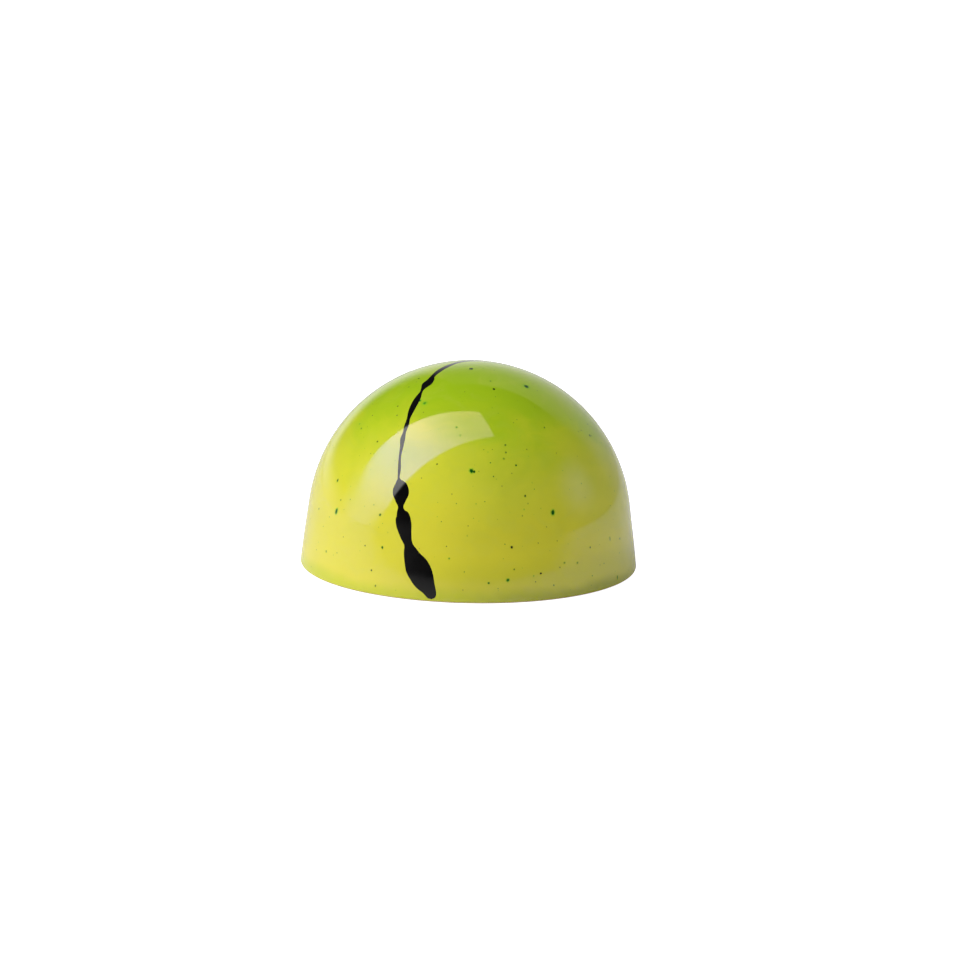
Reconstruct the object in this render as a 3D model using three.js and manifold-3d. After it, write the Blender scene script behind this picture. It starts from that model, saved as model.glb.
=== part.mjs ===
// A moulded chocolate praline: a round crown on a slightly tapered wall, closed flat underneath, with a
// beaded streak of black cocoa butter that runs over the crown. The streak is part of the shell, so the
// praline is one solid, and its faces are sorted into two materials.
//
// Millimetres, +Z up, origin at the centre of the flat underside. The front faces -Y.

import * as THREE from "three";
import { mergeVertices, toCreasedNormals } from "three/addons/utils/BufferGeometryUtils.js";
import Module from "manifold-3d";

// Driving dimensions of the moulded body
const baseDiameter = 28;
const height = 17;
const wallDraft = THREE.MathUtils.degToRad(7);
const edgeRadius = 0.2;

// The streak's film stands this far out of the shell, and is rooted this deep in it
const filmHeight = 0.12;
const filmRoot = 0.35;

// Half of the film's section, from its crest to its edge: how far across, as a share of the full width, and
// how high, as a share of the film's height. Its root is a little narrower than its edge.
const filmRounding = [
  { across: 0, rise: 1 },
  { across: 0.3, rise: 0.85 },
  { across: 0.5, rise: 0.35 },
];
const rootAcross = 0.42;

// Fineness of the faceted surfaces
const turnSteps = 80;
const crownSteps = 22;
const edgeSteps = 3;
const streakStepsPerStation = 2;
const creaseAngle = THREE.MathUtils.degToRad(30);
const sameVertexDistance = 1e-4;

// The crown is a sphere that the straight wall meets tangentially
const baseRadius = baseDiameter / 2;
const crownRadius =
  (baseRadius * Math.cos(wallDraft) - height * Math.sin(wallDraft)) / (1 - Math.sin(wallDraft));
const crownCentreHeight = height - crownRadius;

// The streak's stations from its lower tip at the front, over the crown, to the drop at the back. Each has
// its angle down from the top, its angle round from the front (positive to the right), both in degrees
// and seen from the crown's centre, and the width of the streak there.
const streakStations = [
  { down: 103.0, round: -11.4, width: 0.3 },
  { down: 102.2, round: -11.8, width: 0.75 },
  { down: 100.2, round: -13.0, width: 1.14 },
  { down: 97.6, round: -14.8, width: 1.75 },
  { down: 95.0, round: -16.4, width: 2.0 },
  { down: 92.9, round: -17.8, width: 1.96 },
  { down: 90.4, round: -19.3, width: 1.52 },
  { down: 88.2, round: -20.3, width: 1.14 },
  { down: 86.0, round: -21.1, width: 0.76 },
  { down: 83.3, round: -22.2, width: 1.02 },
  { down: 79.7, round: -23.3, width: 1.36 },
  { down: 76.9, round: -24.1, width: 1.26 },
  { down: 75.3, round: -24.9, width: 0.78 },
  { down: 73.6, round: -25.3, width: 0.5 },
  { down: 71.5, round: -25.7, width: 0.98 },
  { down: 69.2, round: -26.1, width: 1.45 },
  { down: 66.9, round: -26.8, width: 1.3 },
  { down: 65.0, round: -27.9, width: 0.42 },
  { down: 63.4, round: -28.5, width: 0.2 },
  { down: 60.6, round: -29.1, width: 0.28 },
  { down: 56.3, round: -30.5, width: 0.22 },
  { down: 52.5, round: -31.4, width: 0.32 },
  { down: 49.5, round: -32.5, width: 0.45 },
  { down: 47.0, round: -33.1, width: 0.3 },
  { down: 44.1, round: -33.9, width: 0.42 },
  { down: 41.2, round: -35.0, width: 0.32 },
  { down: 37.5, round: -36.4, width: 0.55 },
  { down: 32.3, round: -38.3, width: 0.62 },
  { down: 28.3, round: -40.5, width: 0.26 },
  { down: 26.2, round: -42.0, width: 0.42 },
  { down: 23.6, round: -43.5, width: 0.9 },
  { down: 21.0, round: -45.2, width: 0.72 },
  { down: 18.5, round: -49.4, width: 0.46 },
  { down: 12.4, round: -60.0, width: 0.56 },
  { down: 5.5, round: -98.1, width: 0.5 },
  { down: 6.5, round: 176.0, width: 0.42 },
  { down: 15.0, round: 161.0, width: 0.36 },
  { down: 21.0, round: 158.0, width: 0.66 },
  { down: 27.0, round: 157.0, width: 0.3 },
  { down: 37.0, round: 158.5, width: 0.24 },
  { down: 43.5, round: 160.0, width: 0.62 },
  { down: 50.0, round: 160.5, width: 0.26 },
  { down: 58.0, round: 159.0, width: 0.22 },
  { down: 63.0, round: 158.0, width: 1.0 },
  { down: 67.0, round: 157.5, width: 0.94 },
  { down: 71.0, round: 157.5, width: 0.34 },
  { down: 75.0, round: 158.0, width: 0.5 },
  { down: 79.0, round: 159.0, width: 1.06 },
  { down: 82.5, round: 160.0, width: 0.86 },
  { down: 85.0, round: 160.8, width: 0.24 },
];

// The unit vector that leaves the crown's centre at these two angles
function direction(down, round) {
  const polar = THREE.MathUtils.degToRad(down);
  const azimuth = THREE.MathUtils.degToRad(round);
  return new THREE.Vector3(
    Math.sin(polar) * Math.sin(azimuth),
    -Math.sin(polar) * Math.cos(azimuth),
    Math.cos(polar),
  );
}

// Where a ray from the crown's centre leaves the body, on the crown or on the wall below it
function surfacePoint(ray) {
  const wall = Math.tan(wallDraft);
  const across = Math.hypot(ray.x, ray.y);
  const reach =
    ray.z >= Math.sin(wallDraft)
      ? crownRadius
      : (baseRadius - crownCentreHeight * wall) / (across + ray.z * wall);
  return ray.clone().multiplyScalar(reach).add(new THREE.Vector3(0, 0, crownCentreHeight));
}

// Half of the body's outline, from the centre of the underside to the top
function bodyProfile() {
  const points = [new THREE.Vector2(0, 0)];
  const edgeCentreRadius =
    baseRadius - edgeRadius * Math.tan(wallDraft) - edgeRadius / Math.cos(wallDraft);
  for (let i = 0; i <= edgeSteps; i++) {
    const angle = THREE.MathUtils.mapLinear(i, 0, edgeSteps, -Math.PI / 2, wallDraft);
    points.push(
      new THREE.Vector2(
        edgeCentreRadius + edgeRadius * Math.cos(angle),
        edgeRadius + edgeRadius * Math.sin(angle),
      ),
    );
  }
  for (let i = 0; i < crownSteps; i++) {
    const angle = THREE.MathUtils.mapLinear(i, 0, crownSteps, wallDraft, Math.PI / 2);
    points.push(
      new THREE.Vector2(
        crownRadius * Math.cos(angle),
        crownCentreHeight + crownRadius * Math.sin(angle),
      ),
    );
  }
  points.push(new THREE.Vector2(0, height));
  return points;
}

// LatheGeometry turns its profile round Y, so the result is stood up along Z
function bodyGeometry() {
  return new THREE.LatheGeometry(bodyProfile(), turnSteps).rotateX(Math.PI / 2);
}

// One cross-section of the streak: a low crowned top from edge to edge, and a root inside the shell
function streakSection(centre, forward, width) {
  const outward = centre.clone().normalize();
  const side = new THREE.Vector3().crossVectors(forward, outward).normalize();
  const half = [
    ...filmRounding.map(({ across, rise }) => ({ across, rise: rise * filmHeight })),
    { across: rootAcross, rise: -filmRoot },
  ];
  const otherHalf = half.slice(1).reverse().map(({ across, rise }) => ({ across: -across, rise }));
  return [...otherHalf, ...half].map(({ across, rise }) => {
    const ray = centre.clone().addScaledVector(side, across * width).normalize();
    return surfacePoint(ray).addScaledVector(ray, rise);
  });
}

// Skins a row of cross-sections into one closed surface, with a cap at each end
function skin(sections) {
  const size = sections[0].length;
  const positions = sections.flat().flatMap((point) => point.toArray());
  const index = [];
  for (let row = 0; row + 1 < sections.length; row++) {
    for (let i = 0; i < size; i++) {
      const next = (i + 1) % size;
      const [a, b] = [row * size + i, row * size + next];
      index.push(a, b, a + size, b, b + size, a + size);
    }
  }
  const last = (sections.length - 1) * size;
  for (let i = 1; i + 1 < size; i++) {
    index.push(0, i + 1, i, last, last + i, last + i + 1);
  }
  return new THREE.BufferGeometry()
    .setAttribute("position", new THREE.Float32BufferAttribute(positions, 3))
    .setIndex(index);
}

// The streak follows one smooth curve through its stations, and its width varies as smoothly
function streakGeometry() {
  const route = new THREE.CatmullRomCurve3(
    streakStations.map(({ down, round }) => direction(down, round).multiplyScalar(crownRadius)),
  );
  const widths = new THREE.SplineCurve(
    streakStations.map(({ width }, i) => new THREE.Vector2(i, width)),
  );
  const steps = (streakStations.length - 1) * streakStepsPerStation;
  const sections = [];
  for (let i = 0; i <= steps; i++) {
    const share = i / steps;
    sections.push(
      streakSection(route.getPoint(share), route.getTangent(share), widths.getPoint(share).y),
    );
  }
  return skin(sections);
}

// A closed geometry as a manifold-3d solid, with its shared vertices merged
function toSolid(wasm, geometry) {
  const bare = geometry.clone().deleteAttribute("normal").deleteAttribute("uv");
  const merged = mergeVertices(bare, sameVertexDistance);
  return new wasm.Manifold(
    new wasm.Mesh({
      numProp: 3,
      vertProperties: merged.attributes.position.array,
      triVerts: new Uint32Array(merged.index.array),
    }),
  );
}

// A solid as a geometry whose faces are grouped by the piece that they came from
function toGeometry(solid, pieces) {
  const mesh = solid.getMesh();
  const pieceIds = pieces.map((piece) => piece.getMesh().runOriginalID[0]);
  const geometry = new THREE.BufferGeometry()
    .setAttribute("position", new THREE.BufferAttribute(mesh.vertProperties, 3))
    .setIndex(new THREE.BufferAttribute(mesh.triVerts, 1));
  mesh.runOriginalID.forEach((id, run) => {
    const start = mesh.runIndex[run];
    geometry.addGroup(start, mesh.runIndex[run + 1] - start, pieceIds.indexOf(id));
  });
  return toCreasedNormals(geometry, creaseAngle);
}

const wasm = await Module();
wasm.setup();

const shellMaterial = new THREE.MeshStandardMaterial({
  name: "yellow_green_cocoa_butter",
  color: "#c6c640",
  roughness: 0.12,
  metalness: 0,
});
const streakMaterial = new THREE.MeshStandardMaterial({
  name: "black_cocoa_butter",
  color: "#131314",
  roughness: 0.12,
  metalness: 0,
});

const body = toSolid(wasm, bodyGeometry());
const streak = toSolid(wasm, streakGeometry());
const praline = new THREE.Mesh(
  toGeometry(body.add(streak), [body, streak]),
  [shellMaterial, streakMaterial],
);
praline.name = "praline";

const model = new THREE.Group();
model.add(praline);

export default model;
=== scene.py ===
import math
import random

import bpy
import numpy as np
from mathutils import Matrix, Vector, noise


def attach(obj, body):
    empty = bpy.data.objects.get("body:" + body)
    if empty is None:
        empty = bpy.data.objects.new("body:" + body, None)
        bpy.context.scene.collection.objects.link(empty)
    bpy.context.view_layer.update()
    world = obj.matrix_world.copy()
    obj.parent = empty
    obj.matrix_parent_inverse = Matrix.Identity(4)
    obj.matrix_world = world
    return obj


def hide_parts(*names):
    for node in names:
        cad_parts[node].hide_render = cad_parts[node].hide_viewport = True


MM = 0.001

# The moulded body: a sphere on a slightly tapered wall, which stands a touch steeper near its foot
BASE_RADIUS = 14 * MM
HEIGHT = 17 * MM
MEAN_DRAFT = math.radians(7)
UPPER_DRAFT = math.radians(7.6)
FOOT_DRAFT = math.radians(6.7)
FOOT_BEND = (1.7 * MM, 2.7 * MM)
EDGE_RADIUS = 0.2 * MM
CROWN_RADIUS = (BASE_RADIUS * math.cos(MEAN_DRAFT) - HEIGHT * math.sin(MEAN_DRAFT)) / (
    1 - math.sin(MEAN_DRAFT)
)
CROWN_CENTRE = Vector((0, 0, HEIGHT - CROWN_RADIUS))

# The layer that closes the underside shows as a thin line below the shell's edge
CLOSING_EDGE = 0.1 * MM
CLOSING_THICKNESS = 0.6 * MM

# Fineness of the turned surfaces
TURN_STEPS = 288
CROWN_STEPS = 150
WALL_STEPS = 50
EDGE_STEPS = 6
CLOSING_RINGS = 40

# The moulded skin is never quite true: soft waves this high, and their spacing
WAVE_HEIGHT = 0.003 * MM
WAVE_LENGTH = 4.5 * MM

# The streak's stations from its lower tip at the front, over the crown, to the drop at the back: the angle
# down from the top and the angle round from the front, both in degrees and seen from the crown's centre,
# and the width there to the left and to the right of the route, in millimetres.
STREAK_STATIONS = [
    (103.0, -11.4, 0.15, 0.15),
    (102.2, -11.8, 0.38, 0.37),
    (100.2, -13.0, 0.57, 0.57),
    (97.6, -14.8, 0.88, 0.87),
    (95.0, -16.4, 1.0, 1.0),
    (92.9, -17.8, 0.98, 0.98),
    (90.4, -19.3, 0.76, 0.76),
    (88.2, -20.3, 0.57, 0.57),
    (86.0, -21.1, 0.38, 0.38),
    (83.3, -22.2, 0.51, 0.51),
    (79.7, -23.3, 0.68, 0.68),
    (76.9, -24.1, 0.63, 0.63),
    (75.3, -24.9, 0.39, 0.39),
    (73.6, -25.3, 0.25, 0.25),
    (71.5, -25.7, 0.49, 0.49),
    (69.2, -26.1, 0.72, 0.73),
    (66.9, -26.8, 0.67, 0.64),
    (65.7, -27.4, 0.5, 0.42),
    (64.9, -27.9, 0.27, 0.22),
    (64.2, -28.2, 0.13, 0.12),
    (63.4, -28.5, 0.1, 0.1),
    (60.6, -29.1, 0.14, 0.14),
    (56.3, -30.5, 0.11, 0.11),
    (52.5, -31.4, 0.16, 0.16),
    (49.5, -32.5, 0.23, 0.22),
    (47.0, -33.1, 0.15, 0.15),
    (44.1, -33.9, 0.21, 0.21),
    (41.2, -35.0, 0.16, 0.16),
    (37.5, -36.4, 0.28, 0.27),
    (32.3, -38.3, 0.31, 0.31),
    (28.3, -40.5, 0.13, 0.13),
    (26.2, -42.0, 0.21, 0.21),
    (23.6, -43.5, 0.45, 0.45),
    (21.0, -45.2, 0.36, 0.36),
    (18.5, -49.4, 0.23, 0.23),
    (12.4, -60.0, 0.28, 0.28),
    (5.5, -98.1, 0.25, 0.25),
    (6.5, 176.0, 0.21, 0.21),
    (15.0, 161.0, 0.18, 0.18),
    (21.0, 158.0, 0.33, 0.33),
    (27.0, 157.0, 0.15, 0.15),
    (37.0, 158.5, 0.12, 0.12),
    (43.5, 160.0, 0.31, 0.31),
    (50.0, 160.5, 0.13, 0.13),
    (58.0, 159.0, 0.11, 0.11),
    (63.0, 158.0, 0.5, 0.5),
    (67.0, 157.5, 0.47, 0.47),
    (71.0, 157.5, 0.17, 0.17),
    (75.0, 158.0, 0.25, 0.25),
    (79.0, 159.0, 0.53, 0.53),
    (82.5, 160.0, 0.43, 0.43),
    (85.0, 160.8, 0.12, 0.12),
]
STREAK_STEPS = 12
STREAK_RISE = 0.014 * MM
STREAK_ROOT = 0.25 * MM
STREAK_ROUNDING = 0.05 * MM
STREAK_LEAST_WIDTH = 0.02 * MM

# The streak's cross-section: the shares of its width where its film and its hidden root have their points
STREAK_FILM_SHARES = (-1.0, -0.97, -0.85, -0.5, 0.0, 0.5, 0.85, 0.97, 1.0)
STREAK_ROOT_SHARES = (0.9, -0.9)

# The flecks that the front shows most: angles down and round in degrees, the width and height in millimetres
# that their rings are shares of, how dark the middle is and how green it is, from 0 to 1, and how far the
# green bleeds out, in millimetres
FLECKS = [
    (79.7, -54.6, 0.26, 0.55, 0.85, 1.0, 0.18),
    (59.5, 0.5, 0.3, 0.36, 1.0, 0.9, 0.18),
    (75.1, 31.0, 0.3, 0.42, 1.0, 0.85, 0.18),
    (24.7, 52.0, 0.5, 0.42, 0.8, 0.6, 0.3),
    (69.5, -58.7, 0.2, 0.34, 0.75, 0.6, 0.1),
    (24.1, 18.9, 0.28, 0.34, 1.0, 0.1, 0.03),
    (8.5, -2.9, 0.42, 0.5, 0.95, 0.2, 0.05),
    (96.8, 13.4, 0.26, 0.26, 0.75, 0.9, 0.12),
    (95.3, 25.1, 0.2, 0.2, 1.0, 0.0, 0.03),
    (77.4, -33.1, 0.2, 0.22, 0.8, 0.6, 0.08),
    (101.6, 61.2, 0.16, 0.34, 0.6, 0.6, 0.08),
    (18.9, 20.1, 0.16, 0.24, 0.55, 0.4, 0.08),
    (93.4, 40.0, 0.2, 0.16, 0.5, 0.4, 0.1),
    (92.7, 34.5, 0.2, 0.16, 0.5, 0.4, 0.1),
    (42.9, -7.4, 0.18, 0.18, 0.5, 0.7, 0.1),
    (52.8, 15.3, 0.16, 0.2, 0.6, 0.4, 0.06),
    (50.0, 15.6, 0.18, 0.2, 0.65, 0.4, 0.06),
    (55.1, 14.0, 0.2, 0.22, 0.5, 0.4, 0.06),
    (81.6, -67.7, 0.16, 0.24, 0.6, 0.4, 0.06),
    (94.4, -57.7, 0.2, 0.24, 0.5, 0.4, 0.08),
    (42.1, -81.8, 0.22, 0.22, 0.45, 0.3, 0.1),
    (88.0, 58.2, 0.14, 0.45, 0.5, 0.5, 0.06),
    (89.8, -6.5, 0.16, 0.16, 0.5, 0.8, 0.06),
    (49.5, -61.1, 0.24, 0.2, 0.5, 0.4, 0.1),
    (52.4, -45.2, 0.18, 0.2, 0.75, 0.3, 0.04),
    (37.0, -47.9, 0.17, 0.17, 0.75, 0.2, 0.04),
    (40.8, -43.3, 0.17, 0.17, 0.6, 0.2, 0.04),
    (27.3, -56.9, 0.18, 0.18, 0.5, 0.3, 0.06),
    (57.6, -13.6, 0.17, 0.17, 0.7, 0.3, 0.04),
    (96.5, -34.4, 0.18, 0.18, 0.75, 0.2, 0.04),
    (101.2, -32.3, 0.16, 0.2, 0.65, 0.3, 0.04),
    (93.4, 15.6, 0.16, 0.16, 0.6, 0.3, 0.04),
    (75.5, -53.3, 0.16, 0.2, 0.55, 0.4, 0.04),
    (33.4, -31.0, 0.3, 0.36, 0.6, 1.0, 0.3),
    (32.6, -35.6, 0.22, 0.26, 0.9, 1.0, 0.14),
]
FLECK_SIDES = 12
FLECK_RISE = 0.008 * MM
FLECK_ROOT = 0.05 * MM

# The rings of a fleck: each one's share of its size and of the bleed round it, its share of the ink, its rise
FLECK_RINGS = (
    (0.5, 0.0, 1.0, FLECK_RISE),
    (0.72, 0.0, 0.85, FLECK_RISE),
    (0.78, 0.3, 0.3, FLECK_RISE),
    (0.85, 1.0, 0.0, FLECK_RISE / 2),
    (0.85, 1.1, 0.0, -FLECK_ROOT),
)

# How uneven a fleck is round its rim, and how far it leans
FLECK_WOBBLE = (0.82, 1.16)
FLECK_LEAN = 0.15

# The flecks that are scattered by chance: the seed, their number, how far down they reach, as the cosine of
# the angle and as the least height, and which sections of the streak, one in so many, they are kept clear of
FLECK_SEED = 11
SCATTERED_FLECKS = 460
SCATTER_REACH = -0.24
SCATTER_FLOOR = 0.6 * MM
CLEARANCE_STRIDE = 4

# Their least size in millimetres, how much larger they can be and how rare that is, and how tall they are for
# their width
SCATTER_SIZE = 0.07
SCATTER_GROWTH = 0.16
SCATTER_RARITY = 8
SCATTER_HEIGHTS = (0.8, 1.5)

# The share of dark ones, the ink of those and of the others, how green they are, and how far they bleed, in
# millimetres, with an addition for each millimetre of their size
DARK_FLECKS = 0.42
DARK_INK = (0.6, 0.95)
PALE_INK = (0.15, 0.45)
SCATTER_GREENS = (0.1, 0.9)
SCATTER_BLEED = 0.03
SCATTER_BLEED_GROWTH = 0.1

# The camera: straight at the front from a little above, turned a touch against the horizon. The point that it
# is aimed at lies on the praline's axis and lands on the aim pixel of the picture.
IMAGE_SIZE = 960
SENSOR_WIDTH = 36
LENS = 150
CLIP_START = 0.01
VIEW_ELEVATION = math.radians(12.09)
VIEW_ROLL = math.radians(1.21)
VIEW_DISTANCE = 332 * MM
AIM_HEIGHT = 8.715 * MM
AIM_PIXEL = (470.5, 460.8)

# The long light from over the crown down to the left: the middle of its upper end and of its lower end, its
# width and the side that this width runs to. Each fade of a panel is a smooth step of its radiance. It lists
# how much the way along the panel and the way across it count, both running from 0 to 1, then the range of
# their sum over which it steps, and the shares of the radiance before and after it.
STRIP_UPPER_END = Vector((0.193, -0.085, 0.9055))
STRIP_LOWER_END = Vector((-0.8115, -0.126, -0.003))
STRIP_SIDE = Vector((0.428, -0.873, -0.236))
STRIP_WIDTH = 0.432
STRIP_RADIANCE = 5.0
STRIP_FADES = [
    (1, 0.04, 0.048, 0.065, 0.0, 1.0),
    (1, 0, 0.17, 0.63, 0.34, 1.0),
    (1, 0, 0.53, 0.97, 1.0, 0.0),
    (-1.0, 1, -0.95, -0.45, 0.0, 1.0),
    (-0.18, 1, 0.765, 0.8, 1.0, 0.0),
    (0.9, 1, 1.56, 1.72, 1.0, 0.0),
]

# The soft glow round the strip's lower half, a little further away, which goes on down to the floor
TAIL_UPPER_END = Vector((-0.52, 0.16, 0.62))
TAIL_LOWER_END = Vector((-1.15, 0.18, -0.055))
TAIL_WIDTH = 1.14
TAIL_RADIANCE = 1.4
TAIL_FADES = [
    (1, 0, 0.22, 0.71, 0.0, 1.0),
    (0, 1, 0.36, 0.76, 0.0, 1.0),
    (0, 1, 0.82, 1.0, 1.0, 0.0),
]

# The faint soft patch of light on the right, which has no edges
PATCH_UPPER_END = Vector((0.43, -0.01, 0.34))
PATCH_LOWER_END = Vector((0.5, 0.01, 0.01))
PATCH_SIDE = Vector((0, 1, 0))
PATCH_WIDTH = 0.4
PATCH_RADIANCE = 0.66
PATCH_FADES = [
    (1, 0, 0.0, 0.5, 0.0, 1.0),
    (1, 0, 0.5, 1.0, 1.0, 0.0),
    (0, 1, 0.0, 0.5, 0.0, 1.0),
    (0, 1, 0.5, 1.0, 1.0, 0.0),
]

# The pale card behind on the right: its distance, and its reach as shares of that distance
CARD_DISTANCE = 0.5
CARD_ALONG = (-0.22, 1.4)
CARD_TOP = 1.36
CARD_RADIANCE = 0.29
CARD_FADES = [
    (1, 0, 0.0, 0.45, 0.3, 1.0),
    (1, 0, 0.65, 1.0, 1.0, 0.35),
    (0, 1, 0.0, 0.4, 0.8, 1.0),
    (0, 1, 0.6, 0.95, 1.0, 0.35),
]

# The large soft light high in front on the right, which is kept out of the gloss
FILL_PLACE = Vector((0.3, -0.52, 0.8))
FILL_SIZE = 1.0
FILL_RADIANCE = 0.95

# The room: how bright its walls are from the front to the back, how high they reach on the left and on the
# right and over which range from left to right that changes, over which shares of that height they fade out,
# what is left above them, and the backdrop that the camera sees in their place
WALL_AXIS = (-0.2, 0.45, 0)
WALL_RADIANCES = [
    (0.0, 0.0),
    (0.24, 0.01),
    (0.35, 0.25),
    (0.64, 0.15),
    (0.79, 0.3),
    (0.91, 0.6),
    (1.0, 1.0),
]
WALL_HEIGHTS = (0.12, 0.4)
WALL_DIP = (-0.65, 0.0)
WALL_FADE = (0.3, 1.65)
CEILING_RADIANCE = 0.04
BACKDROP_RADIANCE = 1.0

# The floor is a white sheet, which ends in front of the praline in a wide curve round a far point. That end,
# and the glow of the sheet near and far, light the praline and show in its gloss. The camera sees white.
FLOOR_SIZE = 6.0
FLOOR_GAP = 0.02 * MM
FLOOR_CLOUD_SCALE = 40
FLOOR_ROUGHNESS = 0.8
SHEET_CENTRE = (0, 2.0, 0)
SHEET_REACH = (1.99, 2.2)
SHEET_NEAR_GLOW = 0.07
SHEET_FAR_GLOWS = (0.0, 0.45)
SHEET_FAR_RANGE = (-0.5, 0.8)
SHEET_GLOW_AXIS = (-0.8, 0.6, 0)
SHEET_GLOW_RANGE = (0.1, 0.7)
SHEET_GLOW_TO_CAMERA = 1.25

# The spray's colours from the foot to the crown, each at its share of 16 mm of height. The spray leans, so
# that the right is a little greener than the left.
SPRAY_AXIS = (6.0, 0.0, 62.5)
SPRAY_COLOURS = [
    (0.0, (0.85, 0.775, 0.05)),
    (0.31, (0.81, 0.755, 0.047)),
    (0.44, (0.77, 0.74, 0.045)),
    (0.56, (0.71, 0.72, 0.042)),
    (0.66, (0.64, 0.68, 0.036)),
    (0.75, (0.575, 0.65, 0.026)),
    (0.82, (0.475, 0.61, 0.016)),
    (0.9, (0.385, 0.575, 0.01)),
    (1.0, (0.35, 0.555, 0.008)),
]

# The middle range of a noise, which most of its values fall in, and a wider one
NOISE_RANGE = (0.3, 0.7)
WIDE_NOISE_RANGE = (0.25, 0.75)

# The clouds and the finer wisps of the spray: the scales of their noise and how far they shift the colours up
# or down. The wisps also thin it to a paler yellow, and the clouds shade it: each of these two lists a range
# of the noise and the strength at both its ends.
CLOUD_SCALE = 110
WISP_SCALES = (420, 300, 700)
CLOUD_SHIFT = 0.09
WISP_SHIFT = 0.035
WISP_THINNING = (0.45, 0.75, 0.0, 0.12)
PALE_YELLOW = (0.78, 0.75, 0.12)
CLOUD_SHADING = (0.5, 0.75, 0.0, 0.3)
CLOUD_SHADE = 0.93

# The band just above the foot, partly a limer tint of the spray and partly painted shade beside the
# praline's own shadow on the floor, which turns to a darker olive towards the right: the heights over which
# it fades out and how far they wander, the reach from left to right over which it turns darker, all in
# millimetres, and its strength
FOOT_BAND = (0.1, 1.2)
FOOT_WANDER = 0.4
FOOT_TURN = (-8.0, 10.0)
FOOT_STRENGTH = 0.8
FOOT_LIME_AND_SHADE = (0.63, 0.68, 0.015)
FOOT_OLIVE_SHADE = (0.42, 0.45, 0.004)

# The tint of the gloss on the wall and on the crown, and the heights in millimetres between which it changes.
# The flecks are duller.
WALL_GLOSS = (0.2, 0.16, 1.0)
CROWN_GLOSS = (1.45, 0.72, 0.72)
GLOSS_HEIGHTS = (11.0, 14.5)
FLECK_GLOSS = (0.1, 0.2, 0.1)

# The fine grain that the polished mould leaves in the shell and in the streak, the roughness that it makes,
# and how strongly each refracts
SHELL_GRAIN_SCALE = 1500
STREAK_GRAIN_SCALE = 900
POLISHED_ROUGHNESS = (0.03, 0.09)
SHELL_IOR = 1.7
STREAK_IOR = 1.46

# A fleck's ink: where it stains the shell round it, how dark that stain is and where it covers the shell
STAIN_INK = (0.0, 0.4)
STAIN_SHADE = 0.6
COVERING_INK = (0.25, 0.85)

# The closing layer: the scales of its clouds and of its scrape marks, its roughness, and how deep and how
# strongly the marks show
LAYER_CLOUD_SCALE = 180
SCRAPE_SCALES = (60, 2600, 60)
LAYER_ROUGHNESS = (0.34, 0.5)
LAYER_IOR = 1.46
SCRAPE_DEPTH = 0.03 * MM
SCRAPE_STRENGTH = 0.6

# Painted shade makes the wall darker low down and towards the right, beside the praline's own shadow on the
# floor: the heights over which that fades out, the reach from left to right over which it comes in, both in
# millimetres, and its tint
PAINTED_SHADE_HEIGHTS = (1.8, 4.2)
PAINTED_SHADE_REACH = (-9.0, 1.0)
PAINTED_SHADE_TINT = (0.85, 0.885, 0.9)

# The spray reached further down on the left: the middle of that cloud, its radius and its lift
LIME_CLOUD = Vector((-8.5, -6.5, 11.0)) * MM
LIME_CLOUD_RADIUS = 6 * MM
LIME_CLOUD_LIFT = 0.1

# Other colours
OLIVE_BLACK = (0.012, 0.018, 0.002)
FLECK_GREEN = (0.002, 0.1, 0.006)
STAIN_GREEN = (0.2, 0.52, 0.02)
COCOA_BLACK = (0.0015, 0.0015, 0.0018)
WORN_BLACK = (0.0035, 0.003, 0.003)
IVORY = (0.82, 0.66, 0.42)
DEEP_IVORY = (0.74, 0.57, 0.34)
FLOOR_WHITE = (0.8, 0.8, 0.8)
FLOOR_SHADE = (0.78, 0.78, 0.78)
FLOOR_BEYOND = (0.17, 0.17, 0.17)


def direction(down, azimuth):
    """The unit vector that leaves the crown's centre at these angles down and round, in degrees"""
    polar = math.radians(down)
    turn = math.radians(azimuth)
    return Vector(
        (
            math.sin(polar) * math.sin(turn),
            -math.sin(polar) * math.cos(turn),
            math.cos(polar),
        )
    )


def wall_draft(height):
    """The wall's taper, which eases from the foot's to the upper one across the bend"""
    share = min(1.0, max(0.0, (height - FOOT_BEND[0]) / (FOOT_BEND[1] - FOOT_BEND[0])))
    return FOOT_DRAFT + (UPPER_DRAFT - FOOT_DRAFT) * share * share * (3 - 2 * share)


def outer_profile():
    """Half of the body's outline from where its lower edge ends to the top: radius, height, slope"""
    points = []
    for i in range(CROWN_STEPS + 1):
        angle = math.pi / 2 - (math.pi / 2 - UPPER_DRAFT) * i / CROWN_STEPS
        radius = CROWN_RADIUS * math.cos(angle)
        points.append((radius, CROWN_CENTRE.z + CROWN_RADIUS * math.sin(angle), angle))
    radius, top, _ = points[-1]
    bottom = EDGE_RADIUS * (1 + math.sin(FOOT_DRAFT))
    step = (top - bottom) / WALL_STEPS
    for i in range(1, WALL_STEPS + 1):
        height = top - step * i
        radius += step * math.tan(wall_draft(height + step / 2))
        points.append((radius, height, wall_draft(height)))
    return points[::-1]


PROFILE = outer_profile()
FOOT_RADIUS = PROFILE[0][0]
DOWN_ANGLES = [math.atan2(radius, height - CROWN_CENTRE.z) for radius, height, _ in PROFILE][::-1]
REACHES = [math.hypot(radius, height - CROWN_CENTRE.z) for radius, height, _ in PROFILE][::-1]
SLOPES = [slope for _, _, slope in PROFILE][::-1]


def edge_point(angle):
    """A point of the rounded lower edge, from straight down to where it meets the wall"""
    centre = FOOT_RADIUS - EDGE_RADIUS * math.cos(FOOT_DRAFT)
    return centre + EDGE_RADIUS * math.cos(angle), EDGE_RADIUS * (1 + math.sin(angle))


def wave(point):
    """The height of the skin's soft waves at a point of the surface"""
    return WAVE_HEIGHT * noise.noise(Vector(point) / WAVE_LENGTH)


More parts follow.
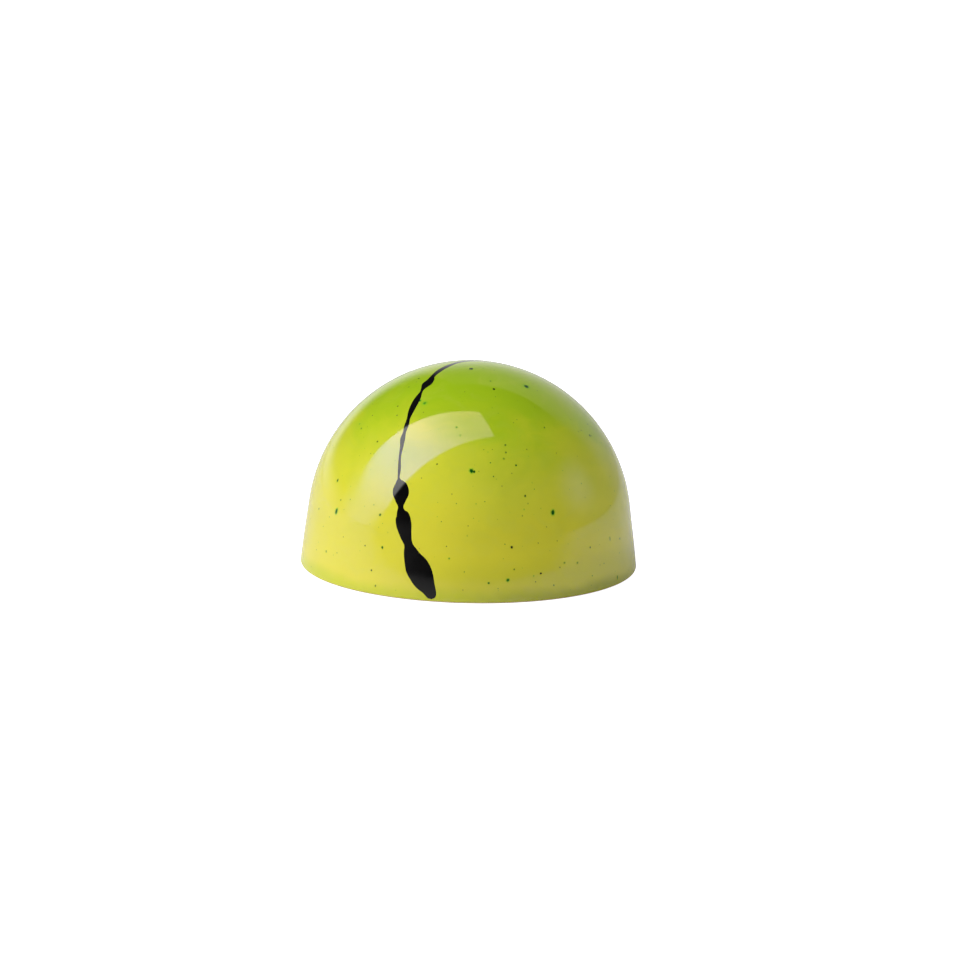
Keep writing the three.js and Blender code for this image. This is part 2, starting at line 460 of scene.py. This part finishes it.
def skin_point(ray, rise=0.0):
    """Where a unit ray from the crown's centre leaves the body, moved out along it by rise"""
    reach = float(np.interp(math.acos(ray.z), DOWN_ANGLES, REACHES))
    flat = ray * reach + CROWN_CENTRE
    return flat + ray * (rise + wave(flat))


def skin_normal(point):
    """The body's outward normal at a point on or near its surface"""
    ray = (Vector(point) - CROWN_CENTRE).normalized()
    slope = float(np.interp(math.acos(ray.z), DOWN_ANGLES, SLOPES))
    around = Vector((ray.x, ray.y, 0)).normalized()
    return around * math.cos(slope) + Vector((0, 0, math.sin(slope)))


def new_object(name, vertices, faces, smooth=True, flush=False):
    """A mesh piece. A flush one is shaded with the body's own normals, as it lies level in its skin"""
    mesh = bpy.data.meshes.new(name)
    mesh.from_pydata([tuple(v) for v in vertices], [], faces)
    mesh.polygons.foreach_set("use_smooth", [smooth] * len(mesh.polygons))
    if flush:
        mesh.normals_split_custom_set_from_vertices([skin_normal(v) for v in vertices])
    mesh.update()
    piece = bpy.data.objects.new(name, mesh)
    bpy.context.scene.collection.objects.link(piece)
    return piece


def turned(name, profile, steps):
    """A closed surface turned round Z from (radius, height) points that start and end on it"""
    vertices = [(0, 0, profile[0][1])]
    for radius, height in profile[1:-1]:
        for i in range(steps):
            angle = 2 * math.pi * i / steps
            vertices.append((radius * math.sin(angle), -radius * math.cos(angle), height))
    vertices.append((0, 0, profile[-1][1]))
    rings = len(profile) - 2
    last = len(vertices) - 1
    faces = []
    for i in range(steps):
        j = (i + 1) % steps
        faces.append((0, 1 + j, 1 + i))
        for ring in range(rings - 1):
            low = 1 + ring * steps
            high = low + steps
            faces.append((low + i, low + j, high + j, high + i))
        top = 1 + (rings - 1) * steps
        faces.append((top + i, top + j, last))
    return new_object(name, vertices, faces)


def make_shell():
    """The coloured skin down to the closing layer, with its hidden lower side closed"""
    start = math.asin(CLOSING_EDGE / EDGE_RADIUS - 1)
    profile = [(0, CLOSING_EDGE)]
    for i in range(EDGE_STEPS):
        profile.append(edge_point(start * (1 - i / EDGE_STEPS)))
    profile.extend((radius, height) for radius, height, _ in PROFILE[:-1])
    profile.append((0, HEIGHT))
    shell = turned("shell", profile, TURN_STEPS)
    for vertex in shell.data.vertices:
        if vertex.co.z > EDGE_RADIUS:
            vertex.co += (vertex.co - CROWN_CENTRE).normalized() * wave(vertex.co)
    return shell


def make_closing_layer():
    """A flat disc under the shell, whose rounded rim carries on the shell's edge"""
    stop = math.asin(CLOSING_EDGE / EDGE_RADIUS - 1)
    rim = edge_point(-math.pi / 2)[0]
    profile = [(rim * i / CLOSING_RINGS, 0) for i in range(CLOSING_RINGS)]
    for i in range(EDGE_STEPS + 1):
        profile.append(edge_point(-math.pi / 2 + (stop + math.pi / 2) * i / EDGE_STEPS))
    profile.append((rim, CLOSING_THICKNESS))
    profile.append((0, CLOSING_THICKNESS))
    return turned("closing_layer", profile, TURN_STEPS)


def catmull_rom(values, steps):
    """Samples a smooth curve through a row of numbers or vectors, with steps to each span"""
    values = np.array(values, float)
    padded = np.vstack([2 * values[0] - values[1], values, 2 * values[-1] - values[-2]])
    samples = []
    for a, b, c, d in zip(padded, padded[1:], padded[2:], padded[3:]):
        for t in np.arange(steps) / steps:
            bend = (2 * a - 5 * b + 4 * c - d) * t * t + (3 * b - a - 3 * c + d) * t**3
            samples.append(b + ((c - a) * t + bend) / 2)
    samples.append(values[-1])
    return np.array(samples)


def streak_sections():
    """The streak's route as unit rays, with its width to the left and to the right at each"""
    rays = [tuple(direction(down, azimuth)) for down, azimuth, _, _ in STREAK_STATIONS]
    widths = [(left * MM, right * MM) for _, _, left, right in STREAK_STATIONS]
    route = [Vector(ray).normalized() for ray in catmull_rom(rays, STREAK_STEPS)]
    spans = np.maximum(catmull_rom(widths, STREAK_STEPS), STREAK_LEAST_WIDTH)
    return route, spans


def make_streak():
    """A film that lies almost flush in the skin, with softly rounded edges and a root inside the shell"""
    route, spans = streak_sections()
    vertices = []
    for i, ray in enumerate(route):
        before = route[max(i - 1, 0)]
        after = route[min(i + 1, len(route) - 1)]
        side = (after - before).cross(ray).normalized()
        left, right = spans[i]
        for share in STREAK_FILM_SHARES:
            width = left if share < 0 else right
            inset = min(1.0, (1 - abs(share)) * width / STREAK_ROUNDING)
            rise = STREAK_RISE * (math.sin(inset * math.pi / 2) if inset else -1)
            spot = (ray + side * (share * width / CROWN_RADIUS)).normalized()
            vertices.append(skin_point(spot, rise))
        for share in STREAK_ROOT_SHARES:
            width = left if share < 0 else right
            spot = (ray + side * (share * width / CROWN_RADIUS)).normalized()
            vertices.append(skin_point(spot, -STREAK_ROOT))
    size = len(STREAK_FILM_SHARES) + len(STREAK_ROOT_SHARES)
    faces = []
    for row in range(len(route) - 1):
        for i in range(size):
            j = (i + 1) % size
            low = row * size
            high = low + size
            faces.append((low + i, low + j, high + j, high + i))
    faces.append(tuple(reversed(range(size))))
    faces.append(tuple(range(len(vertices) - size, len(vertices))))
    return new_object("black_streak", vertices, faces, flush=True)


def scattered_flecks():
    """Seeded flecks all over the shell, many small ones and a few large ones, clear of the streak"""
    draw = random.Random(FLECK_SEED)
    route, spans = streak_sections()
    route = np.array(route[::CLEARANCE_STRIDE])
    spans = spans[::CLEARANCE_STRIDE].max(axis=1)
    flecks = []
    while len(flecks) < SCATTERED_FLECKS:
        down = math.degrees(math.acos(draw.uniform(SCATTER_REACH, 1.0)))
        azimuth = draw.uniform(-180, 180)
        size = SCATTER_SIZE + SCATTER_GROWTH * draw.random() ** SCATTER_RARITY
        tall = draw.uniform(*SCATTER_HEIGHTS)
        inks = DARK_INK if draw.random() < DARK_FLECKS else PALE_INK
        dark = draw.uniform(*inks)
        green = draw.uniform(*SCATTER_GREENS)
        ray = direction(down, azimuth)
        clearance = np.linalg.norm(route - np.array(ray), axis=1) * CROWN_RADIUS - spans
        if skin_point(ray).z < SCATTER_FLOOR or clearance.min() < size * MM:
            continue
        bleed = SCATTER_BLEED + SCATTER_BLEED_GROWTH * size
        flecks.append((down, azimuth, size, size * tall, dark, green, bleed))
    return flecks


def fleck_ring(centre, radii, lean, rise):
    """The points of a ring in the skin round a unit ray, from its radii across and upward, in millimetres"""
    across = Vector((0, 0, 1)).cross(centre).normalized()
    upward = centre.cross(across).normalized()
    points = []
    for i, (wide, tall) in enumerate(radii):
        angle = 2 * math.pi * i / FLECK_SIDES
        x = wide * math.cos(angle)
        y = tall * math.sin(angle)
        offset = across * (x - lean * y) + upward * y
        ray = (centre + offset * (MM / CROWN_RADIUS)).normalized()
        points.append(skin_point(ray, rise))
    return points


def fleck_faces(base):
    """The faces of the fleck whose points start at base: its middle, its rings and the end of its root"""
    last = base + 1 + len(FLECK_RINGS) * FLECK_SIDES
    rim = last - FLECK_SIDES
    faces = []
    for i in range(FLECK_SIDES):
        j = (i + 1) % FLECK_SIDES
        faces.append((base, base + 1 + i, base + 1 + j))
        for inner in range(base + 1, rim, FLECK_SIDES):
            outer = inner + FLECK_SIDES
            faces.append((inner + i, outer + i, outer + j, inner + j))
        faces.append((rim + i, last, rim + j))
    return faces


def make_flecks():
    """Every fleck is a flat grain set flush in the skin, darkest in its middle"""
    draw = random.Random(FLECK_SEED + 1)
    vertices = []
    faces = []
    ink = []
    green_share = []
    for down, azimuth, width, height, dark, green, bleed in FLECKS + scattered_flecks():
        centre = direction(down, azimuth)
        wobble = [draw.uniform(*FLECK_WOBBLE) for _ in range(FLECK_SIDES)]
        lean = draw.uniform(-FLECK_LEAN, FLECK_LEAN)
        base = len(vertices)
        vertices.append(skin_point(centre, FLECK_RISE))
        ink.append(dark)
        for share, spread, strength, rise in FLECK_RINGS:
            radii = [
                (width / 2 * share * swell + bleed * spread, height / 2 * share * swell + bleed * spread)
                for swell in wobble
            ]
            vertices.extend(fleck_ring(centre, radii, lean, rise))
            ink.extend([dark * strength] * FLECK_SIDES)
        vertices.append(skin_point(centre, -FLECK_ROOT))
        ink.append(0.0)
        green_share.extend([green] * (len(vertices) - base))
        faces.extend(fleck_faces(base))
    piece = new_object("green_flecks", vertices, faces, flush=True)
    for name, values in (("ink", ink), ("green", green_share)):
        attribute = piece.data.attributes.new(name, "FLOAT", "POINT")
        attribute.data.foreach_set("value", values)
    return piece


class Nodes:
    """Builds nodes in a node tree: each call adds one and returns one of its outputs"""

    def __init__(self, tree):
        self.tree = tree

    def feed(self, socket, value):
        if isinstance(value, bpy.types.NodeSocket):
            self.tree.links.new(value, socket)
        elif hasattr(socket.default_value, "__len__"):
            socket.default_value = (*value, 1.0)[: len(socket.default_value)]
        else:
            socket.default_value = value

    def add(self, kind, inputs, output=0, **settings):
        node = self.tree.nodes.new(kind)
        for key, value in settings.items():
            setattr(node, key, value)
        for key, value in inputs.items():
            self.feed(node.inputs[key], value)
        return node.outputs[output]

    def place(self):
        return self.add("ShaderNodeTexCoord", {}, "Object")

    def math(self, operation, a, b, c=0.0):
        return self.add("ShaderNodeMath", {0: a, 1: b, 2: c}, operation=operation)

    def blend(self, share, a, b):
        return self.add("ShaderNodeMix", {0: share, 6: a, 7: b}, 2, data_type="RGBA")

    def noise(self, place, scale, detail, roughness=0.5, distortion=0.0):
        inputs = {"Vector": place, "Scale": scale, "Detail": detail}
        inputs.update({"Roughness": roughness, "Distortion": distortion})
        return self.add("ShaderNodeTexNoise", inputs)

    def ramp(self, value, low, high, first=0.0, last=1.0):
        """A smooth step from first to last as the input goes from low to high"""
        inputs = {0: value, 1: low, 2: high, 3: first, 4: last}
        return self.add("ShaderNodeMapRange", inputs, interpolation_type="SMOOTHSTEP")

    def along(self, place, axis):
        """How far a place lies along an axis"""
        return self.add("ShaderNodeVectorMath", {0: place, 1: axis}, "Value", operation="DOT_PRODUCT")

    def stops(self, value, colours):
        """A smooth run of colours, each at its own value from 0 to 1"""
        node = self.tree.nodes.new("ShaderNodeValToRGB")
        node.color_ramp.interpolation = "B_SPLINE"
        for position, colour in colours[1:-1]:
            node.color_ramp.elements.new(position)
        for element, (position, colour) in zip(node.color_ramp.elements, colours):
            element.position = position
            element.color = (*colour, 1.0)
        self.feed(node.inputs[0], value)
        return node.outputs[0]

    def shade(self, colour, share):
        return self.add("ShaderNodeVectorMath", {0: colour, "Scale": share}, operation="SCALE")

    def distance(self, place, other):
        return self.add("ShaderNodeVectorMath", {0: place, 1: other}, "Value", operation="DISTANCE")

    def stretch(self, place, scales):
        return self.add("ShaderNodeVectorMath", {0: place, 1: scales}, operation="MULTIPLY")

    def bump(self, height, distance, strength):
        inputs = {"Height": height, "Distance": distance, "Strength": strength}
        return self.add("ShaderNodeBump", inputs)


class Material(Nodes):
    """The nodes of a new material, which finish feeds into its shader"""

    def __init__(self, name):
        self.material = bpy.data.materials.new(name)
        self.material.use_nodes = True
        super().__init__(self.material.node_tree)

    def finish(self, **inputs):
        shader = self.tree.nodes["Principled BSDF"]
        for key, value in inputs.items():
            self.feed(shader.inputs[key.replace("_", " ")], value)
        return self.material


def shell_colour(nodes):
    """Yellow that turns lime and then green towards the crown, in cloudy hand-sprayed patches, with painted
    shade low down on the right and at the foot
    """
    place = nodes.place()
    cloud = nodes.noise(place, CLOUD_SCALE, detail=3, roughness=0.55, distortion=0.6)
    stretched = nodes.stretch(place, WISP_SCALES)
    wisps = nodes.noise(stretched, 1, detail=4, roughness=0.6, distortion=1.0)
    height = nodes.along(place, SPRAY_AXIS)
    cloud_shift = nodes.ramp(cloud, *WIDE_NOISE_RANGE, -CLOUD_SHIFT, CLOUD_SHIFT)
    wisp_shift = nodes.ramp(wisps, *WIDE_NOISE_RANGE, -WISP_SHIFT, WISP_SHIFT)
    warped = nodes.math("ADD", nodes.math("ADD", height, cloud_shift), wisp_shift)
    lift = nodes.ramp(nodes.distance(place, LIME_CLOUD), 0.0, LIME_CLOUD_RADIUS, LIME_CLOUD_LIFT, 0.0)
    sprayed = nodes.stops(nodes.math("ADD", warped, lift), SPRAY_COLOURS)
    thinned = nodes.blend(nodes.ramp(wisps, *WISP_THINNING), sprayed, PALE_YELLOW)
    cloudy = nodes.blend(nodes.ramp(cloud, *CLOUD_SHADING), thinned, nodes.shade(thinned, CLOUD_SHADE))
    rightward = nodes.along(place, (1 / MM, 0, 0))
    upward = nodes.along(place, (0, 0, 1 / MM))
    # Painted shade: the wall is darker low down and towards the right
    low = nodes.ramp(upward, *PAINTED_SHADE_HEIGHTS, 1.0, 0.0)
    painted_shade = nodes.math("MULTIPLY", low, nodes.ramp(rightward, *PAINTED_SHADE_REACH))
    wall = nodes.blend(painted_shade, cloudy, nodes.stretch(cloudy, PAINTED_SHADE_TINT))
    # The foot band: a limer tint with painted shade, which turns to a darker olive towards the right
    foot_lime_and_shade = nodes.blend(nodes.ramp(rightward, *FOOT_TURN), FOOT_LIME_AND_SHADE, FOOT_OLIVE_SHADE)
    wander = nodes.ramp(cloud, *NOISE_RANGE, -FOOT_WANDER, FOOT_WANDER)
    above_foot = nodes.math("ADD", upward, wander)
    return nodes.blend(nodes.ramp(above_foot, *FOOT_BAND, FOOT_STRENGTH, 0.0), wall, foot_lime_and_shade)


def cocoa_butter(nodes, colour, ink=0.0):
    """The hard gloss that a polished mould leaves"""
    place = nodes.place()
    grain = nodes.noise(place, SHELL_GRAIN_SCALE, detail=3)
    high = nodes.ramp(nodes.along(place, (0, 0, 1 / MM)), *GLOSS_HEIGHTS)
    gloss = nodes.blend(high, WALL_GLOSS, CROWN_GLOSS)
    return nodes.finish(
        Base_Color=colour,
        Roughness=nodes.ramp(grain, *NOISE_RANGE, *POLISHED_ROUGHNESS),
        IOR=SHELL_IOR,
        Specular_Tint=nodes.blend(ink, gloss, FLECK_GLOSS),
    )


def shell_material():
    nodes = Material("yellow_green_cocoa_butter")
    return cocoa_butter(nodes, shell_colour(nodes))


def fleck_material():
    nodes = Material("flecked_cocoa_butter")
    ink = nodes.add("ShaderNodeAttribute", {}, "Fac", attribute_name="ink")
    green = nodes.add("ShaderNodeAttribute", {}, "Fac", attribute_name="green")
    pigment = nodes.blend(green, OLIVE_BLACK, FLECK_GREEN)
    clear = shell_colour(nodes)
    stain = nodes.blend(green, nodes.shade(clear, STAIN_SHADE), STAIN_GREEN)
    inked = nodes.ramp(ink, *STAIN_INK)
    stained = nodes.blend(inked, clear, stain)
    colour = nodes.blend(nodes.ramp(ink, *COVERING_INK), stained, pigment)
    return cocoa_butter(nodes, colour, inked)


def streak_material():
    nodes = Material("black_cocoa_butter")
    grain = nodes.noise(nodes.place(), STREAK_GRAIN_SCALE, detail=3)
    return nodes.finish(
        Base_Color=nodes.blend(grain, COCOA_BLACK, WORN_BLACK),
        Roughness=nodes.ramp(grain, *NOISE_RANGE, *POLISHED_ROUGHNESS),
        IOR=STREAK_IOR,
    )


def closing_material():
    nodes = Material("white_chocolate")
    place = nodes.place()
    cloud = nodes.noise(place, LAYER_CLOUD_SCALE, detail=4)
    scrape = nodes.noise(nodes.stretch(place, SCRAPE_SCALES), 1, detail=3)
    return nodes.finish(
        Base_Color=nodes.blend(cloud, IVORY, DEEP_IVORY),
        Roughness=nodes.ramp(cloud, *NOISE_RANGE, *LAYER_ROUGHNESS),
        IOR=LAYER_IOR,
        Normal=nodes.bump(scrape, SCRAPE_DEPTH, SCRAPE_STRENGTH),
    )


def floor_material():
    nodes = Material("pale_floor")
    place = nodes.place()
    sheet = nodes.blend(nodes.noise(place, FLOOR_CLOUD_SCALE, detail=4), FLOOR_WHITE, FLOOR_SHADE)
    seen = nodes.add("ShaderNodeLightPath", {}, "Is Camera Ray")
    end = nodes.ramp(nodes.distance(place, SHEET_CENTRE), *SHEET_REACH)
    beyond = nodes.math("MULTIPLY", end, nodes.math("SUBTRACT", 1.0, seen))
    far = nodes.ramp(nodes.along(place, SHEET_GLOW_AXIS), *SHEET_FAR_RANGE, *SHEET_FAR_GLOWS)
    reached = nodes.ramp(nodes.distance(place, (0, 0, 0)), *SHEET_GLOW_RANGE, SHEET_NEAR_GLOW, far)
    glow = nodes.add("ShaderNodeMapRange", {0: seen, 3: reached, 4: SHEET_GLOW_TO_CAMERA})
    return nodes.finish(
        Base_Color=nodes.blend(beyond, sheet, FLOOR_BEYOND),
        Roughness=FLOOR_ROUGHNESS,
        Emission_Color=sheet,
        Emission_Strength=nodes.ramp(beyond, 0.0, 1.0, glow, 0.0),
    )


def make_floor():
    half = FLOOR_SIZE / 2
    corners = [(x, y, -FLOOR_GAP) for x, y in ((-half, -half), (half, -half), (half, half), (-half, half))]
    floor = new_object("floor", corners, [(0, 1, 2, 3)], smooth=False)
    floor.data.materials.append(floor_material())


def make_camera():
    """A camera whose view is offset so that the praline lands where it does in the picture"""
    toward = Vector((0, math.cos(VIEW_ELEVATION), -math.sin(VIEW_ELEVATION)))
    upright = Vector((0, math.sin(VIEW_ELEVATION), math.cos(VIEW_ELEVATION)))
    right = Vector((1, 0, 0))
    rolled_right = right * math.cos(VIEW_ROLL) + upright * math.sin(VIEW_ROLL)
    rolled_up = upright * math.cos(VIEW_ROLL) - right * math.sin(VIEW_ROLL)
    aim = Vector((0, 0, AIM_HEIGHT))
    pixel = SENSOR_WIDTH / LENS * VIEW_DISTANCE / IMAGE_SIZE
    rightward = (IMAGE_SIZE / 2 - AIM_PIXEL[0]) * pixel
    downward = (IMAGE_SIZE / 2 - AIM_PIXEL[1]) * pixel
    centre = aim + rolled_right * rightward - rolled_up * downward
    place = aim - toward * VIEW_DISTANCE
    back = (place - centre).normalized()
    across = rolled_up.cross(back).normalized()
    camera = bpy.data.cameras.new("camera")
    camera.sensor_width = SENSOR_WIDTH
    camera.lens = LENS
    camera.clip_start = CLIP_START
    holder = bpy.data.objects.new("camera", camera)
    rotation = Matrix((across, back.cross(across), back)).transposed()
    holder.matrix_world = Matrix.Translation(place) @ rotation.to_4x4()
    bpy.context.scene.collection.objects.link(holder)
    bpy.context.scene.camera = holder


def make_panel(name, upper_end, lower_end, side, width, radiance, fades=()):
    """A rectangular light between two ends, turned towards the praline, whose width runs along side"""
    length = (lower_end - upper_end).length
    light = bpy.data.lights.new(name, "AREA")
    light.shape = "RECTANGLE"
    light.size = length
    light.size_y = width
    light.energy = radiance * math.pi * length * width
    shade_panel(light, fades)
    holder = bpy.data.objects.new(name, light)
    x = (lower_end - upper_end).normalized()
    z = x.cross(side).normalized()
    rotation = Matrix((x, z.cross(x), z)).transposed()
    centre = (upper_end + lower_end) / 2
    holder.matrix_world = Matrix.Translation(centre) @ rotation.to_4x4()
    holder.visible_camera = False
    bpy.context.scene.collection.objects.link(holder)
    return holder


def shade_panel(light, fades):
    """Multiplies a panel's radiance by its fades"""
    light.use_nodes = True
    nodes = Nodes(light.node_tree)
    place = nodes.add("ShaderNodeNewGeometry", {}, "Parametric")
    strength = 1.0
    for along, across, low, high, first, last in fades:
        share = nodes.ramp(nodes.along(place, (along, across, 0)), low, high, first, last)
        strength = nodes.math("MULTIPLY", share, strength)
    nodes.feed(nodes.tree.nodes["Emission"].inputs["Strength"], strength)


def make_lights():
    make_panel(
        "strip_light",
        STRIP_UPPER_END,
        STRIP_LOWER_END,
        STRIP_SIDE,
        STRIP_WIDTH,
        STRIP_RADIANCE,
        STRIP_FADES,
    )
    make_panel(
        "tail_light", TAIL_UPPER_END, TAIL_LOWER_END, STRIP_SIDE, TAIL_WIDTH, TAIL_RADIANCE, TAIL_FADES
    )
    make_panel(
        "patch_light",
        PATCH_UPPER_END,
        PATCH_LOWER_END,
        PATCH_SIDE,
        PATCH_WIDTH,
        PATCH_RADIANCE,
        PATCH_FADES,
    )
    # The dim card whose image is the paler border along the top and the right of the crown
    left, right = [share * CARD_DISTANCE for share in CARD_ALONG]
    height = CARD_TOP * CARD_DISTANCE
    make_panel(
        "card_light",
        Vector((left, CARD_DISTANCE, height / 2)),
        Vector((right, CARD_DISTANCE, height / 2)),
        Vector((0, 0, -1)),
        height,
        CARD_RADIANCE,
        CARD_FADES,
    )
    half = Vector((FILL_SIZE / 2, 0, 0))
    fill = make_panel(
        "fill_light",
        FILL_PLACE - half,
        FILL_PLACE + half,
        Vector((0, FILL_PLACE.z, -FILL_PLACE.y)),
        FILL_SIZE,
        FILL_RADIANCE,
    )
    fill.visible_glossy = False


def make_room():
    """A dim room all round, which the camera itself sees as a white backdrop"""
    world = bpy.data.worlds.new("room")
    world.use_nodes = True
    nodes = Nodes(world.node_tree)
    ray = nodes.add("ShaderNodeTexCoord", {}, "Generated")
    behind = nodes.math("ADD", nodes.along(ray, WALL_AXIS), 0.5)
    walls = nodes.stops(behind, [(share, (level, level, level)) for share, level in WALL_RADIANCES])
    tall = nodes.ramp(nodes.along(ray, (1, 0, 0)), *WALL_DIP, *WALL_HEIGHTS)
    low = nodes.ramp(nodes.math("DIVIDE", nodes.along(ray, (0, 0, 1)), tall), *WALL_FADE, 1.0, 0.0)
    room = nodes.math("MULTIPLY_ADD", walls, low, CEILING_RADIANCE)
    seen = nodes.add("ShaderNodeLightPath", {}, "Is Camera Ray")
    strength = nodes.add("ShaderNodeMapRange", {0: seen, 3: room, 4: BACKDROP_RADIANCE})
    background = nodes.tree.nodes["Background"]
    nodes.feed(background.inputs["Color"], (1, 1, 1))
    nodes.feed(background.inputs["Strength"], strength)
    bpy.context.scene.world = world


def dress(piece, material):
    piece.data.materials.append(material)
    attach(piece, "root")
    return piece


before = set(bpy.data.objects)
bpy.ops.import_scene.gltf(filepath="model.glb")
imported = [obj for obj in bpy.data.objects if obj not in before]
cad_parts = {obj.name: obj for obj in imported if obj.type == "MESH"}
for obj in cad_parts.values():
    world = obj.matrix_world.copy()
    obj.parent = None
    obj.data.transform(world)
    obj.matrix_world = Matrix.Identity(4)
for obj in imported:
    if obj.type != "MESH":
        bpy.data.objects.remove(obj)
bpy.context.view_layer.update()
bpy.context.scene.view_settings.view_transform = "Standard"
make_camera()
make_lights()
make_room()
make_floor()
shell = dress(make_shell(), shell_material())
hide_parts("praline")
dress(make_streak(), streak_material())
dress(make_flecks(), fleck_material())
dress(make_closing_layer(), closing_material())
